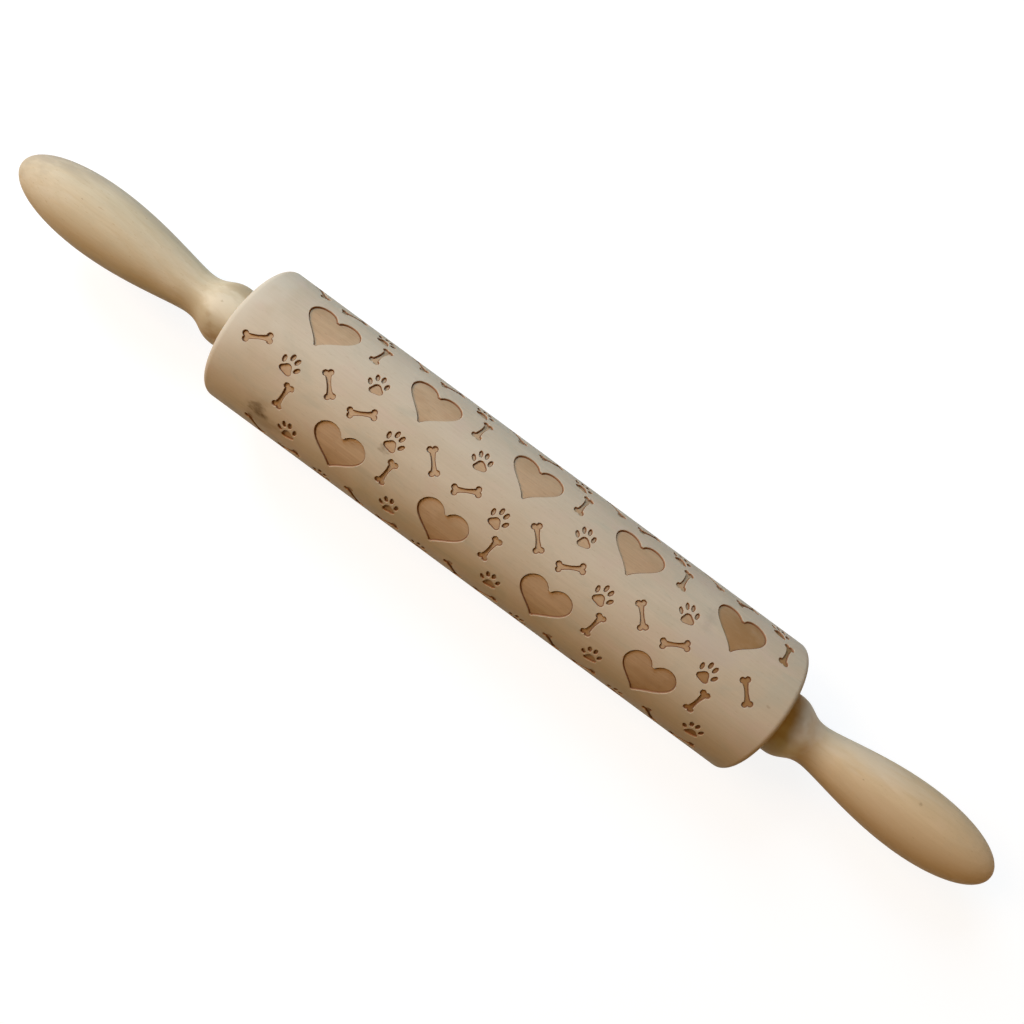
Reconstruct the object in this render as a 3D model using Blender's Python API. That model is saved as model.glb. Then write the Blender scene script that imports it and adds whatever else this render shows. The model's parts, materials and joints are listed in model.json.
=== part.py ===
"""Embossed wooden rolling pin: an engraved barrel that turns on a steel axle between two turned handles.

Metres, +Z up, the pin lies along X. The origin is the middle of the line on which the barrel rests.
Axial places on a handle and its insert count outwards from the handle's foot, the face towards the barrel.
"""

import math

import bmesh
import bpy
from mathutils import Matrix, Vector
from mathutils.geometry import delaunay_2d_cdt, interpolate_bezier

MM = 0.001

# Barrel: its radius is measured to the middle of a facet
BARREL_LENGTH = 233 * MM
BARREL_RADIUS = 27.5 * MM
RIM_ROUNDING = 2.6 * MM
BORE_RADIUS = 5 * MM
BARREL_FACETS = 24
RIM_STEPS = 4

# Axle
AXLE_RADIUS = 4 * MM
AXLE_REACH = 40 * MM
AXLE_CHAMFER = 0.8 * MM
AXLE_FACETS = 16

# Bearing bush
BUSH_RADIUS = 8 * MM
BUSH_LENGTH = 22 * MM
BUSH_CHAMFER = 0.8 * MM
FLANGE_RADIUS = 11 * MM
FLANGE_THICKNESS = 2 * MM
BUSH_FACETS = 24

# Thrust washer
WASHER_RADIUS = 8.5 * MM
WASHER_THICKNESS = 1 * MM
WASHER_FACETS = 24

# Threaded insert, held in the handle by barbs
INSERT_RADIUS = 6 * MM
INSERT_LENGTH = 15 * MM
BARB_HEIGHT = 0.6 * MM
BARBS = 3
INSERT_FACETS = 16

# Handle: foot, bead, neck, grip and nose
HANDLE_LENGTH = 102.4 * MM
FOOT_RADIUS = 9.2 * MM
BEAD_PLACE = 8.2 * MM
BEAD_RADIUS = 12.5 * MM
NECK_PLACE = 22 * MM
NECK_RADIUS = 8.55 * MM
GRIP_PLACE = 67 * MM
GRIP_RADIUS = 13.9 * MM
HANDLE_FACETS = 20

# How far the two tangents of each stretch of the handle's outline reach, as shares of the stretch
BEAD_RISE_SHARES = (0.75, 0.5)
NECK_FALL_SHARES = (0.42, 0.5)
GRIP_RISE_SHARES = (0.15, 0.45)
NOSE_FALL_SHARES = (0.57, 0.6)
BEAD_RISE_STEPS = 4
NECK_FALL_STEPS = 5
GRIP_RISE_STEPS = 7
NOSE_FALL_STEPS = 8

# Clearances: of what turns on its neighbour, and of what is seated in its neighbour
RUNNING_GAP = 0.3 * MM
SEAT_GAP = 0.3 * MM

# Engraving: rows of hearts, each row shifted along the last so that they close round the barrel, and small
# figures between them
ENGRAVING_DEPTH = 0.7 * MM
PATTERN_MARGIN = 7 * MM
COLUMN_PITCH = 44 * MM
ROW_PITCH = 34.5 * MM
ROW_SHIFT_SHARE = 0.4
FIRST_ROW_TURN = math.radians(36)

HEART_WIDTH = 20.5 * MM
HEART_HEIGHT = 18 * MM
HEART_WAVE_SHARES = (0.8125, -0.3125, -0.125, -0.0625)
HEART_POINTS = 16

BONE_LENGTH = 10.6 * MM
BONE_SHAFT_WIDTH = 2.2 * MM
BONE_WAIST_WIDTH = 1.5 * MM
KNOB_RADIUS = 1.25 * MM
KNOB_SPREAD_SHARE = 0.8
KNOB_STEPS = 2

PAW_WIDTH = 8 * MM
PAD_PLACE_SHARES = (0, -0.22)
PAD_SIZE_SHARES = (0.30, 0.24)
PAD_LOBE_SHARE = 0.14
PAD_LOBES = 3
PAD_POINTS = 6
TOE_PLACE_SHARES = ((-0.38, 0.06), (-0.14, 0.34), (0.14, 0.34), (0.38, 0.06))
TOE_SIZE_SHARES = (0.10, 0.17)
TOE_LEANS = tuple(math.radians(lean) for lean in (22, 8, -8, -22))
TOE_POINTS = 4

# Small figures round each heart: kind, place along and across as shares of the pitches, and turn
SMALL_FIGURE_SHARES = (
    ("bone", 0.02, 0.50, math.radians(30)),
    ("paw", 0.35, 0.46, math.radians(-12)),
    ("bone", 0.68, 0.54, math.radians(-50)),
    ("bone", 0.43, 0.16, math.radians(84)),
    ("paw", 0.58, -0.17, math.radians(16)),
)

ALONG = (1, 0)
ACROSS = (0, 1)

# Points nearer to each other than this are one point
CLOSE = 0.001 * MM
SHARP_EDGE = math.radians(30)

# Places worked out from the sizes above
FULL_TURN = 2 * math.pi
AXIS_HEIGHT = BARREL_RADIUS
BARREL_END = BARREL_LENGTH / 2
SKIN_END = BARREL_END - RIM_ROUNDING
GIRTH = FULL_TURN * BARREL_RADIUS
FACET_WIDTH = GIRTH / BARREL_FACETS
FACET_TURN = FULL_TURN / BARREL_FACETS
WASHER_PLACE = BARREL_END + RUNNING_GAP
FOOT_PLACE = WASHER_PLACE + WASHER_THICKNESS + SEAT_GAP


def finish(name, colour, roughness, metallic=0.0):
    """A plain Principled material, its colour in linear light."""
    material = bpy.data.materials.new(name)
    material.use_nodes = True
    shader = material.node_tree.nodes["Principled BSDF"]
    shader.inputs["Base Color"].default_value = (*colour, 1.0)
    shader.inputs["Roughness"].default_value = roughness
    shader.inputs["Metallic"].default_value = metallic
    material.diffuse_color = (*colour, 1.0)
    return material


def body_axis(name):
    """An empty on the axle's line, which carries the pieces of one moving body."""
    empty = bpy.data.objects.new(name, None)
    bpy.context.scene.collection.objects.link(empty)
    empty.location = (0, 0, AXIS_HEIGHT)
    return empty


def smooth_mesh(name, bm, materials):
    """The mesh of a finished piece, smooth but for its sharp edges."""
    bmesh.ops.recalc_face_normals(bm, faces=bm.faces)
    mesh = bpy.data.meshes.new(name)
    bm.to_mesh(mesh)
    bm.free()
    mesh.shade_smooth()
    mesh.set_sharp_from_angle(angle=SHARP_EDGE)
    for material in materials:
        mesh.materials.append(material)
    return mesh


def piece(name, mesh, body, place=0.0, facing=1):
    """An object at its place along the axle. Facing -1 turns it to the pin's left end."""
    obj = bpy.data.objects.new(name, mesh)
    bpy.context.scene.collection.objects.link(obj)
    obj.parent = body
    obj.location.x = facing * place
    if facing < 0:
        obj.rotation_euler.z = math.pi
    return obj


def turned(profile, facets, ring=False):
    """A profile of (place, radius) points turned about the X axis, as on a lathe."""
    bm = bmesh.new()
    points = [bm.verts.new((place, 0, radius)) for place, radius in profile]
    pairs = list(zip(points, points[1:]))
    if ring:
        pairs.append((points[-1], points[0]))
    edges = [bm.edges.new(pair) for pair in pairs]
    bmesh.ops.spin(
        bm,
        geom=points + edges,
        cent=(0, 0, 0),
        axis=(1, 0, 0),
        angle=FULL_TURN,
        steps=facets,
        use_merge=True,
    )
    bmesh.ops.remove_doubles(bm, verts=bm.verts, dist=CLOSE)
    return bm


def heart_outline():
    """A plain heart, tip down, fitted to its width and height. Outlines run anticlockwise."""
    turns = [FULL_TURN * step / HEART_POINTS for step in range(HEART_POINTS)]
    rises = [
        sum(share * math.cos(wave * turn) for wave, share in enumerate(HEART_WAVE_SHARES, 1))
        for turn in turns
    ]
    middle = (max(rises) + min(rises)) / 2
    stretch = HEART_HEIGHT / (max(rises) - min(rises))
    return [
        Vector((-HEART_WIDTH / 2 * math.sin(turn) ** 3, (rise - middle) * stretch))
        for turn, rise in zip(turns, rises)
    ]


def bone_outline():
    """A bone along X: a waisted shaft between two pairs of round knobs, each pair with a notch."""
    spread = KNOB_RADIUS * KNOB_SPREAD_SHARE
    centre = Vector((BONE_LENGTH / 2 - KNOB_RADIUS, spread))
    shaft_turn = math.pi + math.asin((spread - BONE_SHAFT_WIDTH / 2) / KNOB_RADIUS)
    notch_turn = -math.asin(spread / KNOB_RADIUS)
    knob = []
    for step in range(KNOB_STEPS + 1):
        turn = notch_turn + (shaft_turn - notch_turn) * step / KNOB_STEPS
        knob.append(centre + KNOB_RADIUS * Vector((math.cos(turn), math.sin(turn))))
    right_end = [Vector((point.x, -point.y)) for point in reversed(knob[1:])] + knob
    left_end = [-point for point in right_end]
    waist = Vector((0, BONE_WAIST_WIDTH / 2))
    return right_end + [waist] + left_end + [-waist]


def paw_outlines():
    """A paw print: four oval toes over a three-lobed pad."""
    outlines = []
    for place, lean in zip(TOE_PLACE_SHARES, TOE_LEANS):
        toe = []
        for step in range(TOE_POINTS):
            turn = math.pi / 2 + FULL_TURN * step / TOE_POINTS
            oval = Vector((TOE_SIZE_SHARES[0] * math.cos(turn), TOE_SIZE_SHARES[1] * math.sin(turn)))
            toe.append(PAW_WIDTH * (Vector(place) + Matrix.Rotation(lean, 2) @ oval))
        outlines.append(toe)
    pad = []
    for step in range(PAD_POINTS):
        turn = math.pi / 2 + FULL_TURN * step / PAD_POINTS
        swell = 1 + PAD_LOBE_SHARE * math.cos(PAD_LOBES * (turn - math.pi / 2))
        oval = Vector((PAD_SIZE_SHARES[0] * math.cos(turn), PAD_SIZE_SHARES[1] * math.sin(turn)))
        pad.append(PAW_WIDTH * (Vector(PAD_PLACE_SHARES) + swell * oval))
    outlines.append(pad)
    return outlines


def engraved_outlines():
    """Every outline of the pattern on the flat skin: X along the barrel, Y round it from the seam."""
    figures = {
        "heart": [heart_outline()],
        "bone": [bone_outline()],
        "paw": paw_outlines(),
    }
    pattern_end = BARREL_END - PATTERN_MARGIN
    columns = max(1, round(2 * pattern_end / COLUMN_PITCH))
    rows = max(2, round(GIRTH / ROW_PITCH))
    column_pitch = 2 * pattern_end / columns
    row_pitch = GIRTH / rows
    row_shift = round(rows * ROW_SHIFT_SHARE) / rows
    cell = (("heart", 0, 0, 0),) + SMALL_FIGURE_SHARES
    outlines = []
    for row in range(rows):
        across = GIRTH / 2 - FACET_WIDTH / 2 + FIRST_ROW_TURN * BARREL_RADIUS + row * row_pitch
        for column in range(-1, columns + 1):
            along = -pattern_end + (column + 1 / 2 + row * row_shift % 1) * column_pitch
            for kind, along_share, across_share, turn in cell:
                place = Vector((along + along_share * column_pitch, across + across_share * row_pitch))
                placed = [
                    [place + Matrix.Rotation(turn, 2) @ point for point in outline]
                    for outline in figures[kind]
                ]
                if max(abs(point.x) for outline in placed for point in outline) <= pattern_end:
                    outlines.extend(placed)
    return outlines


def round_the_seam(outline):
    """The outline, moved onto the flat skin: twice where it crosses the seam, once at each edge."""
    turns = {math.floor(point.y / GIRTH) for point in outline}
    return [[point - Vector((0, turn * GIRTH)) for point in outline] for turn in sorted(turns)]


def skin_place(point):
    """Where a point of the flat skin lies once the skin is rolled: every facet stays flat."""
    facet = point.y / FACET_WIDTH
    first = math.floor(facet)
    corner_radius = BARREL_RADIUS / math.cos(FACET_TURN / 2)
    corners = []
    for corner in (first, first + 1):
        turn = -math.pi + FACET_TURN * (corner + 1 / 2)
        corners.append(corner_radius * Vector((math.sin(turn), math.cos(turn))))
    across, up = corners[0].lerp(corners[1], facet - first)
    return Vector((point.x, across, up))


def engraved_skin():
    """The barrel's rolled skin between its rims, with the pattern sunk into it."""
    outlines = []
    for facet in range(BARREL_FACETS):
        low, high = facet * FACET_WIDTH, (facet + 1) * FACET_WIDTH
        corners = ((-SKIN_END, low), (SKIN_END, low), (SKIN_END, high), (-SKIN_END, high))
        outlines.append([Vector(corner) for corner in corners])
    for outline in engraved_outlines():
        outlines.extend(round_the_seam(outline))
    points = [point for outline in outlines for point in outline]
    faces = []
    for outline in outlines:
        start = faces[-1][-1] + 1 if faces else 0
        faces.append(list(range(start, start + len(outline))))
    flat_points, _, flat_faces, _, _, origins = delaunay_2d_cdt(points, [], faces, 1, CLOSE, True)

    bm = bmesh.new()
    skin = [bm.verts.new(skin_place(point)) for point in flat_points]
    sunk = []
    for corners, origin in zip(flat_faces, origins):
        if min(origin, default=BARREL_FACETS) >= BARREL_FACETS:
            continue
        face = bm.faces.new([skin[corner] for corner in corners])
        if max(origin) >= BARREL_FACETS:
            face.material_index = 1
            sunk.append(face)
    bmesh.ops.delete(bm, geom=[vert for vert in bm.verts if not vert.link_faces], context="VERTS")
    bmesh.ops.remove_doubles(bm, verts=bm.verts, dist=CLOSE)

    lowered = bmesh.ops.extrude_face_region(bm, geom=sunk)["geom"]
    bmesh.ops.delete(bm, geom=sunk, context="FACES")
    floor_share = (BARREL_RADIUS - ENGRAVING_DEPTH) / BARREL_RADIUS
    floor_points = [part for part in lowered if isinstance(part, bmesh.types.BMVert)]
    bmesh.ops.scale(bm, vec=(1, floor_share, floor_share), verts=floor_points)
    return bm


def barrel_end_profile():
    """From the skin's edge over the rim, across the end face and into the bush's seat and the bore."""
    profile = []
    for step in range(1, RIM_STEPS + 1):
        turn = math.pi / 2 * step / RIM_STEPS
        place = SKIN_END + RIM_ROUNDING * math.sin(turn)
        radius = BARREL_RADIUS - RIM_ROUNDING * (1 - math.cos(turn))
        profile.append((place, radius))
    flange_floor = BARREL_END - FLANGE_THICKNESS - SEAT_GAP
    bush_floor = BARREL_END - BUSH_LENGTH - SEAT_GAP
    profile += [
        (BARREL_END, FLANGE_RADIUS + SEAT_GAP),
        (flange_floor, FLANGE_RADIUS + SEAT_GAP),
        (flange_floor, BUSH_RADIUS + SEAT_GAP),
        (bush_floor, BUSH_RADIUS + SEAT_GAP),
        (bush_floor, BORE_RADIUS),
    ]
    return profile


def barrel_mesh(wood, engraved):
    """The whole barrel: its skin carried on round both rims and joined through the bore."""
    bm = engraved_skin()
    bores = []
    for side in (-1, 1):
        loop = [
            edge for edge in bm.edges if edge.is_boundary and all(vert.co.x * side > 0 for vert in edge.verts)
        ]
        radius = BARREL_RADIUS
        for place, next_radius in barrel_end_profile():
            grown = bmesh.ops.extrude_edge_only(bm, edges=loop)["geom"]
            loop = [part for part in grown if isinstance(part, bmesh.types.BMEdge)]
            for vert in (part for part in grown if isinstance(part, bmesh.types.BMVert)):
                vert.co.x = side * place
                vert.co.yz *= next_radius / radius
            radius = next_radius
        bores += loop
    bmesh.ops.bridge_loops(bm, edges=bores)
    return smooth_mesh("barrel", bm, (wood, engraved))


def axle_mesh(steel):
    """The rod, chamfered at both ends."""
    end = FOOT_PLACE + AXLE_REACH
    half = [(end - AXLE_CHAMFER, AXLE_RADIUS), (end, AXLE_RADIUS - AXLE_CHAMFER), (end, 0)]
    other_half = [(-place, radius) for place, radius in reversed(half)]
    return smooth_mesh("axle_rod", turned(other_half + half, AXLE_FACETS), (steel,))


def bush_mesh(nylon):
    """A flanged bush: the flange's outer face is at place 0 and the body reaches into the barrel."""
    bore = AXLE_RADIUS + RUNNING_GAP
    profile = [
        (0, bore),
        (0, FLANGE_RADIUS),
        (-FLANGE_THICKNESS, FLANGE_RADIUS),
        (-FLANGE_THICKNESS, BUSH_RADIUS),
        (-BUSH_LENGTH + BUSH_CHAMFER, BUSH_RADIUS),
        (-BUSH_LENGTH, BUSH_RADIUS - BUSH_CHAMFER),
        (-BUSH_LENGTH, bore),
    ]
    return smooth_mesh("bearing_bush", turned(profile, BUSH_FACETS, ring=True), (nylon,))


def washer_mesh(steel):
    """A flat washer with its inner face at place 0."""
    bore = AXLE_RADIUS + RUNNING_GAP
    profile = [
        (0, bore),
        (0, WASHER_RADIUS),
        (WASHER_THICKNESS, WASHER_RADIUS),
        (WASHER_THICKNESS, bore),
    ]
    return smooth_mesh("thrust_washer", turned(profile, WASHER_FACETS, ring=True), (steel,))


def insert_mesh(brass):
    """A barbed insert, flush with the handle's foot at place 0."""
    bore = AXLE_RADIUS + SEAT_GAP
    barb_length = INSERT_LENGTH / BARBS
    profile = [(0, bore)]
    for barb in range(BARBS):
        profile.append((barb * barb_length, INSERT_RADIUS))
        profile.append(((barb + 1) * barb_length, INSERT_RADIUS - BARB_HEIGHT))
    profile.append((INSERT_LENGTH, bore))
    return smooth_mesh("threaded_insert", turned(profile, INSERT_FACETS, ring=True), (brass,))


def smooth_run(start, end, shares, steps, leaves=ALONG, arrives=ALONG):
    """The points of a smooth curve after its start, with its two tangents along or across the axle."""
    way = end - start
    first_tangent = shares[0] * way * Vector(leaves)
    last_tangent = shares[1] * way * Vector(arrives)
    points = interpolate_bezier(start, start + first_tangent, end - last_tangent, end, steps + 1)
    return [tuple(point) for point in points[1:]]


def handle_mesh(wood):
    """The turned handle: out of its blind hole, across the foot and along the outline to the nose."""
    foot = Vector((0, FOOT_RADIUS))
    bead = Vector((BEAD_PLACE, BEAD_RADIUS))
    neck = Vector((NECK_PLACE, NECK_RADIUS))
    grip = Vector((GRIP_PLACE, GRIP_RADIUS))
    nose = Vector((HANDLE_LENGTH, 0))
    hole_end = AXLE_REACH + SEAT_GAP
    insert_floor = INSERT_LENGTH + SEAT_GAP
    profile = [
        (hole_end, 0),
        (hole_end, AXLE_RADIUS + SEAT_GAP),
        (insert_floor, AXLE_RADIUS + SEAT_GAP),
        (insert_floor, INSERT_RADIUS + SEAT_GAP),
        (0, INSERT_RADIUS + SEAT_GAP),
        tuple(foot),
    ]
    profile += smooth_run(foot, bead, BEAD_RISE_SHARES, BEAD_RISE_STEPS, leaves=ACROSS)
    profile += smooth_run(bead, neck, NECK_FALL_SHARES, NECK_FALL_STEPS)
    profile += smooth_run(neck, grip, GRIP_RISE_SHARES, GRIP_RISE_STEPS)
    profile += smooth_run(grip, nose, NOSE_FALL_SHARES, NOSE_FALL_STEPS, arrives=ACROSS)
    return smooth_mesh("handle", turned(profile, HANDLE_FACETS), (wood,))


def build():
    """All the pieces, each under the empty of the body that it moves with."""
    for obj in list(bpy.data.objects):
        bpy.data.objects.remove(obj)

    barrel_wood = finish("beech", (0.52, 0.41, 0.29), 0.55)
    engraved_wood = finish("scorched beech", (0.33, 0.20, 0.11), 0.75)
    handle_wood = finish("lime wood", (0.62, 0.47, 0.27), 0.5)
    steel = finish("bright steel", (0.60, 0.60, 0.58), 0.3, metallic=1.0)
    brass = finish("brass", (0.72, 0.52, 0.24), 0.35, metallic=1.0)
    nylon = finish("nylon", (0.80, 0.78, 0.72), 0.45)

    handle_axis = body_axis("handle_axis")
    barrel_axis = body_axis("barrel_axis")
    piece("barrel", barrel_mesh(barrel_wood, engraved_wood), barrel_axis)
    piece("axle_rod", axle_mesh(steel), handle_axis)

    bush, washer = bush_mesh(nylon), washer_mesh(steel)
    insert, handle = insert_mesh(brass), handle_mesh(handle_wood)
    for side, facing in (("left", -1), ("right", 1)):
        piece(f"{side}_bearing_bush", bush, barrel_axis, BARREL_END, facing)
        piece(f"{side}_thrust_washer", washer, handle_axis, WASHER_PLACE, facing)
        piece(f"{side}_threaded_insert", insert, handle_axis, FOOT_PLACE, facing)
        piece(f"{side}_handle", handle, handle_axis, FOOT_PLACE, facing)


build()
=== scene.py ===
"""An embossed wooden rolling pin, dressed for its picture: engraved beech barrel, turned handles, axle parts.

Metres, +Z up. The pin lies along X on the floor, the middle of its barrel over the origin.
"""

import json
import math

import bmesh
import bpy
from mathutils import Matrix, Vector
from mathutils.geometry import interpolate_bezier

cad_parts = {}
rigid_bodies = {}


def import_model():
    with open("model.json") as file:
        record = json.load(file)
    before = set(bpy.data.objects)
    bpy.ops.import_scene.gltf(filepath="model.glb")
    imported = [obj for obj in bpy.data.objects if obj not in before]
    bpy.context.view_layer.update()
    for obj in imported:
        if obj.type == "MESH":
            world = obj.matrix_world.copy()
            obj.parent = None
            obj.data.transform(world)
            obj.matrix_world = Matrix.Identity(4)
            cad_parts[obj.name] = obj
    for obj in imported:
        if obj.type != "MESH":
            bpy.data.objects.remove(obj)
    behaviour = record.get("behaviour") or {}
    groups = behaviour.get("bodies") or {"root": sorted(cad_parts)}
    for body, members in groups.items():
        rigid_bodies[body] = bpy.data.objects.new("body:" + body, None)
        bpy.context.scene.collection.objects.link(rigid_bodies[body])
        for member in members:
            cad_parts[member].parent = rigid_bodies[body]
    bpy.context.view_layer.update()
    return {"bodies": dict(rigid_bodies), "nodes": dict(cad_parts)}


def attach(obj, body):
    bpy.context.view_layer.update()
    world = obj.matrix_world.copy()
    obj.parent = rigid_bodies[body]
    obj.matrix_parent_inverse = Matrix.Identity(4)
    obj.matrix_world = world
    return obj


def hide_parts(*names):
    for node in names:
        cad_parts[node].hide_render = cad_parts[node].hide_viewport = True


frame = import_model()
for stray in set(bpy.data.objects) - set(frame["nodes"].values()) - set(frame["bodies"].values()):
    bpy.data.objects.remove(stray)

MM = 0.001
FULL_TURN = 2 * math.pi

# Barrel
BARREL_LENGTH = 233 * MM
BARREL_RADIUS = 27.5 * MM
RIM_ROUNDING = 2.6 * MM
BORE_RADIUS = 5 * MM
SLAB_THICKNESS = 3 * MM
BARREL_STRIPS = 144
BARREL_RINGS = 20
RIM_STEPS = 10

# Axle, bushes, washers and inserts
AXLE_RADIUS = 4 * MM
AXLE_REACH = 40 * MM
AXLE_CHAMFER = 0.8 * MM
THREAD_START = 0.5 * MM
THREAD_PITCH = 1.25 * MM
THREAD_DEPTH = 0.6 * MM
BUSH_RADIUS = 8 * MM
BUSH_LENGTH = 22 * MM
BUSH_CHAMFER = 0.8 * MM
BUSH_EASE = 0.3 * MM
FLANGE_RADIUS = 11 * MM
FLANGE_THICKNESS = 2 * MM
WASHER_RADIUS = 8.5 * MM
WASHER_THICKNESS = 1 * MM
WASHER_EASE = 0.2 * MM
ROLLED_EDGE_SHARE = 0.3
INSERT_RADIUS = 6 * MM
INSERT_LENGTH = 15 * MM
BARB_HEIGHT = 0.6 * MM
BARBS = 3
BARB_LAND_SHARE = 0.15
RUNNING_GAP = 0.3 * MM
SEAT_GAP = 0.3 * MM
RING_SIDES = 72
ROD_SIDES = 48

# Handle
HANDLE_LENGTH = 102.4 * MM
FOOT_RADIUS = 9.2 * MM
BEAD_PLACE = 8.2 * MM
BEAD_RADIUS = 12.5 * MM
NECK_PLACE = 22 * MM
NECK_RADIUS = 8.55 * MM
GRIP_PLACE = 67 * MM
GRIP_RADIUS = 13.9 * MM
BEAD_RISE_SHARES = (0.75, 0.5)
NECK_FALL_SHARES = (0.42, 0.5)
GRIP_RISE_SHARES = (0.15, 0.45)
NOSE_FALL_SHARES = (0.57, 0.6)
BEAD_RISE_STEPS = 10
NECK_FALL_STEPS = 12
GRIP_RISE_STEPS = 20
NOSE_FALL_STEPS = 26
HANDLE_SIDES = 96

# Engraving
ENGRAVING_DEPTH = 0.7 * MM
EDGE_WEAR = 0.1 * MM
WALL_DRAFT = 0.15 * MM
# A band of the floor along each wall's foot, given the wall's dark finish: partly char, partly painted shade
SCORCHED_AND_SHADED_BAND = 0.18 * MM
CUTTER_CLEARANCE = 0.05 * MM
CUTTER_LIP = 0.01 * MM
SHARPEST_MITRE = 0.5
PATTERN_MARGIN = 7 * MM
COLUMN_PITCH = 44 * MM
ROW_PITCH = 34.5 * MM
ROW_SHIFT_SHARE = 0.4
FIRST_ROW_TURN = math.radians(36)
HEART_WIDTH = 20.5 * MM
HEART_HEIGHT = 18 * MM
HEART_WAVE_SHARES = (0.8125, -0.3125, -0.125, -0.0625)
HEART_POINTS = 72
HEART_BLUNTNESS = 0.2 * MM
BONE_LENGTH = 10.6 * MM
BONE_SHAFT_WIDTH = 2.2 * MM
BONE_WAIST_WIDTH = 1.5 * MM
KNOB_RADIUS = 1.15 * MM
KNOB_SPREAD_SHARE = 0.8
KNOB_STEPS = 9
WAIST_STEPS = 4
PAW_WIDTH = 8 * MM
PAD_PLACE_SHARES = (0, -0.22)
PAD_SIZE_SHARES = (0.30, 0.24)
PAD_LOBE_SHARE = 0.14
PAD_LOBES = 3
PAD_POINTS = 36
TOE_PLACE_SHARES = ((-0.38, 0.06), (-0.14, 0.34), (0.14, 0.34), (0.38, 0.06))
TOE_SIZE_SHARES = (0.10, 0.17)
TOE_LEANS = tuple(math.radians(lean) for lean in (22, 8, -8, -22))
TOE_POINTS = 18
SMALL_FIGURE_SHARES = (
    ("bone", 0.02, 0.50, math.radians(30)),
    ("paw", 0.35, 0.46, math.radians(-12)),
    ("bone", 0.68, 0.54, math.radians(-50)),
    ("bone", 0.43, 0.16, math.radians(84)),
    ("paw", 0.58, -0.17, math.radians(16)),
)

# Woods: the colours of their pale, warm, grey and rosy tones, where the pith lies beside the pin and how wide a
# year is, in mm
BEECH_TONES = ((0.535, 0.44, 0.32), (0.505, 0.405, 0.285), (0.455, 0.395, 0.29), (0.535, 0.41, 0.305))
TOASTED_TONES = ((0.475, 0.325, 0.195), (0.45, 0.30, 0.17), (0.42, 0.285, 0.16), (0.47, 0.305, 0.18))
PALE_LIME_TONES = ((0.575, 0.475, 0.33), (0.545, 0.44, 0.285), (0.515, 0.425, 0.28), (0.565, 0.465, 0.325))
WARM_LIME_TONES = ((0.635, 0.475, 0.29), (0.605, 0.445, 0.26), (0.57, 0.43, 0.26), (0.635, 0.465, 0.285))
BEECH_LOG = {"pith": (-31.0, -46.0), "ring_width": 3.4}
LEFT_LIME_LOG = {"pith": (18.0, -27.0), "ring_width": 2.6}
RIGHT_LIME_LOG = {"pith": (-22.0, -16.0), "ring_width": 2.6}
BARE_WOOD_GLOSS = 0.05

# Stains and knots in the wood, and patches of painted highlight and painted shade: place in mm from the axle's line,
# reach in mm along and across, how much of the patch's colour shows in the middle, and that colour
BARREL_STAINS_AND_PAINTED_LIGHT = (
    # Painted highlight: a pale patch over the left rim and the barrel's left end, standing for the light that falls
    # there
    ((-115.0, -2.0, 27.0), (16.0, 36.0), 0.75, (0.60, 0.52, 0.40)),
    ((-90.5, -22.0, 16.2), (11.0, 8.0), 0.55, (0.29, 0.215, 0.135)),
    ((-92.5, -20.9, 17.8), (4.6, 4.4), 0.9, (0.15, 0.095, 0.04)),
    ((-47.5, -5.4, 27.0), (2.6, 2.0), 0.75, (0.26, 0.195, 0.125)),
    ((76.1, 14.7, 23.2), (3.2, 7.0), 0.4, (0.36, 0.29, 0.225)),
    ((79.7, 5.6, 26.9), (13.0, 9.0), 0.45, (0.49, 0.395, 0.325)),
    ((108.5, 1.8, 27.4), (1.1, 0.8), 0.5, (0.33, 0.24, 0.16)),
)
LEFT_KNOTS_AND_PAINTED_LIGHT = (
    # Painted highlight: a pale patch over the left bead, standing for the light on it
    ((-127.0, -0.5, 12.4), (15.0, 12.0), 0.8, (0.69, 0.58, 0.415)),
    # Painted shade: a browner patch on the bead's +Y flank next to the barrel, where the barrel's end shades it
    ((-124.5, 11.5, 5.0), (9.0, 8.0), 0.9, (0.43, 0.32, 0.19)),
    # Painted shade: a darker patch on the +Y flank of the left nose
    ((-216.0, 6.5, 6.5), (16.0, 14.5), 0.8, (0.42, 0.335, 0.23)),
    # Painted shade: a darker streak along the left grip's +Y flank, its upper edge seen from above
    ((-178.0, 13.0, 4.0), (52.0, 5.5), 0.6, (0.45, 0.355, 0.24)),
    ((-129.0, -4.3, 11.6), (1.6, 1.3), 0.4, (0.40, 0.26, 0.14)),
    ((-127.4, 2.6, 12.1), (0.7, 0.6), 0.5, (0.33, 0.21, 0.11)),
    ((-126.4, -6.6, 10.6), (2.2, 2.0), 0.55, (0.33, 0.20, 0.095)),
    ((-124.2, -9.6, 7.8), (5.0, 3.4), 0.65, (0.35, 0.19, 0.085)),
    # Painted shade: a darker patch on the -Y flank of the left neck
    ((-134.0, -8.5, 6.0), (24.0, 10.0), 0.7, (0.41, 0.30, 0.165)),
    # Painted shade: a darker streak along the +Y flank of the grip towards the nose
    ((-209.0, 11.5, 2.5), (30.0, 11.0), 0.75, (0.37, 0.29, 0.20)),
)
RIGHT_KNOTS_AND_PAINTED_LIGHT = (
    # Painted light: a pale patch over the right bead and foot, lifting them out of the barrel's shadow
    ((127.0, -6.0, 6.5), (11.0, 24.0), 0.85, (0.79, 0.73, 0.62)),
    # Painted light: a paler stretch along the +Y side of the right neck and grip
    ((152.0, 9.0, 7.5), (42.0, 9.0), 0.55, (0.69, 0.575, 0.42)),
    # A darker, warmer stretch over the right grip and nose, a little towards -Y
    ((174.0, -7.0, 10.5), (62.0, 11.0), 0.55, (0.53, 0.375, 0.215)),
    ((178.0, 6.0, 12.4), (1.0, 0.8), 0.5, (0.29, 0.18, 0.09)),
)

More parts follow.
